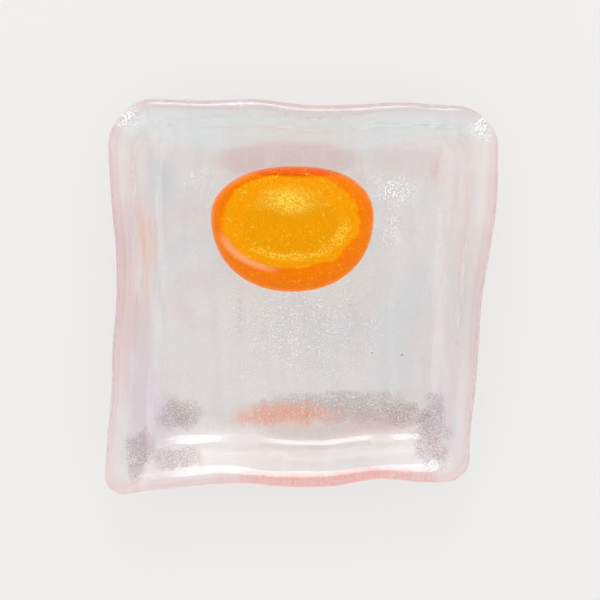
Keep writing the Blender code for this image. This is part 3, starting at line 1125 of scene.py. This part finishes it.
class EGG_OT_yolk(bpy.types.Operator):
    """Make the orange glass yolk"""

    bl_idname = "glass_egg.yolk"
    bl_label = "Glass yolk"

    def execute(self, context):
        yolk = context.scene.egg_yolk
        foot = context.scene.egg_white.glass
        rings = yolk_rings(yolk, foot)
        start = Vector((YOLK_MIDDLE.x, YOLK_MIDDLE.y, foot - YOLK_SINK))
        crown = Vector((YOLK_MIDDLE.x, YOLK_MIDDLE.y, foot + yolk.height))
        piece = close_skin("glass_yolk", rings, start, crown)
        piece.data.set_sharp_from_angle(angle=YOLK_SHARP_EDGE)
        seat_piece(piece, orange_glass(yolk), "yolk")
        return {"FINISHED"}


# The ground lies just under the dish and reaches past every view
GROUND_DROP = 0.15 * MM
GROUND_HALF = 6.0

# The camera looks down from above, tilted a little towards the lower wall
CAMERA_PLACE = Vector((-0.00012, 0.0576, 0.5720))
CAMERA_TILT = math.radians(-6.0)
LENS = 100.0
SENSOR = 36.0
NEAREST = 0.01

# How often light may pass through or off the glass
BOUNCES = 20

# Softboxes: direction round from +X and lean from straight up in degrees, width, height, brightness
LIGHT_REACH = 8.0
SOFTBOXES = [
    ("long_softbox", 90.0, 57.0, 3.0, 3.9, 6.0),
    ("wide_softbox", 90.0, 57.0, 4.4, 1.6, 2.6),
    ("right_softbox", 42.0, 62.0, 0.7, 0.7, 6.0),
]

# The room is dark straight overhead: the lean where that starts and where it is full, and its brightness
DARK_START = math.radians(32.0)
DARK_FULL = math.radians(12.0)
DARK = 0.06


def pale_ground(colour):
    """A wide flat sheet of pale paper."""
    bm = bmesh.new()
    bmesh.ops.create_grid(bm, x_segments=1, y_segments=1, size=GROUND_HALF)
    mesh = bpy.data.meshes.new("ground")
    bm.to_mesh(mesh)
    bm.free()
    ground = bpy.data.objects.new("ground", mesh)
    ground.location = (0.0, 0.0, -GROUND_DROP)
    bpy.context.scene.collection.objects.link(ground)
    material = new_material("pale_ground")
    s = Sketch(material.node_tree)
    paper = s.node("ShaderNodeBsdfDiffuse", {"Color": rgba(colour)})
    s.node("ShaderNodeOutputMaterial", {"Surface": paper.outputs[0]})
    mesh.materials.append(material)
    return ground


def softbox(name, turn, lean, width, height, radiance):
    """An area light that faces the dish, with its brightness given as seen."""
    turn = math.radians(turn)
    lean = math.radians(lean)
    place = Vector((math.sin(lean) * math.cos(turn), math.sin(lean) * math.sin(turn), math.cos(lean)))
    place = place * LIGHT_REACH
    lamp = bpy.data.lights.new(name, "AREA")
    lamp.shape = "RECTANGLE"
    lamp.size = width
    lamp.size_y = height
    lamp.energy = radiance * width * height * math.pi
    made = bpy.data.objects.new(name, lamp)
    made.location = place
    made.rotation_euler = place.to_track_quat("Z", "Y").to_euler()
    bpy.context.scene.collection.objects.link(made)


def studio_world(brightness):
    """A pale room that is dark straight overhead, where the camera stands."""
    world = bpy.data.worlds.new("studio")
    world.use_nodes = True
    world.node_tree.nodes.clear()
    s = Sketch(world.node_tree)
    direction = s.node("ShaderNodeTexCoord").outputs["Generated"]
    up = s.node("ShaderNodeSeparateXYZ", {0: direction}).outputs["Z"]
    overhead = s.step(up, math.cos(DARK_START), math.cos(DARK_FULL))
    shade = s.mix(overhead, rgba([brightness] * 3), rgba([DARK] * 3))
    sky = s.node("ShaderNodeBackground", {"Color": shade, "Strength": 1.0})
    s.node("ShaderNodeOutputWorld", {"Surface": sky.outputs[0]})
    return world


def overhead_camera():
    """The camera above the dish."""
    lens = bpy.data.cameras.new("camera")
    lens.lens = LENS
    lens.sensor_width = SENSOR
    lens.clip_start = NEAREST
    camera = bpy.data.objects.new("camera", lens)
    camera.location = CAMERA_PLACE
    camera.rotation_euler = (CAMERA_TILT, 0.0, 0.0)
    bpy.context.scene.collection.objects.link(camera)
    return camera


class EGG_OT_stage(bpy.types.Operator):
    """Lay the ground, and set the lights and the camera"""

    bl_idname = "glass_egg.stage"
    bl_label = "Studio"

    def execute(self, context):
        scene = context.scene
        settings = scene.egg_stage
        ground = pale_ground(settings.ground)
        scene.world = studio_world(settings.sky)
        for *form, radiance in SOFTBOXES:
            softbox(*form, radiance * settings.softbox)
        scene.camera = overhead_camera()
        scene.view_settings.view_transform = "Standard"
        scene.cycles.max_bounces = BOUNCES
        scene.cycles.transmission_bounces = BOUNCES
        return {"FINISHED"}


class EGG_PT_panel(bpy.types.Panel):
    """The parts of the glass fried egg"""

    bl_label = "Glass Fried Egg"
    bl_idname = "EGG_PT_panel"
    bl_space_type = "VIEW_3D"
    bl_region_type = "UI"
    bl_category = "Glass Egg"

    def draw(self, context):
        for operator, settings in (
            (EGG_OT_white, context.scene.egg_white),
            (EGG_OT_yolk, context.scene.egg_yolk),
            (EGG_OT_stage, context.scene.egg_stage),
        ):
            column = self.layout.column(align=True)
            for name in settings.__annotations__:
                column.prop(settings, name)
            column.operator(operator.bl_idname)


SETTINGS = {"egg_white": WhiteSettings, "egg_yolk": YolkSettings, "egg_stage": StageSettings}
CLASSES = [*SETTINGS.values(), EGG_OT_white, EGG_OT_yolk, EGG_OT_stage, EGG_PT_panel]


def register():
    for made in CLASSES:
        bpy.utils.register_class(made)
    for name, made in SETTINGS.items():
        setattr(bpy.types.Scene, name, PointerProperty(type=made))


def unregister():
    for name in SETTINGS:
        delattr(bpy.types.Scene, name)
    for made in reversed(CLASSES):
        bpy.utils.unregister_class(made)


def main():
    register()
    bpy.ops.glass_egg.white()
    bpy.ops.glass_egg.yolk()
    bpy.ops.glass_egg.stage()


if __name__ == "__main__":
    main()
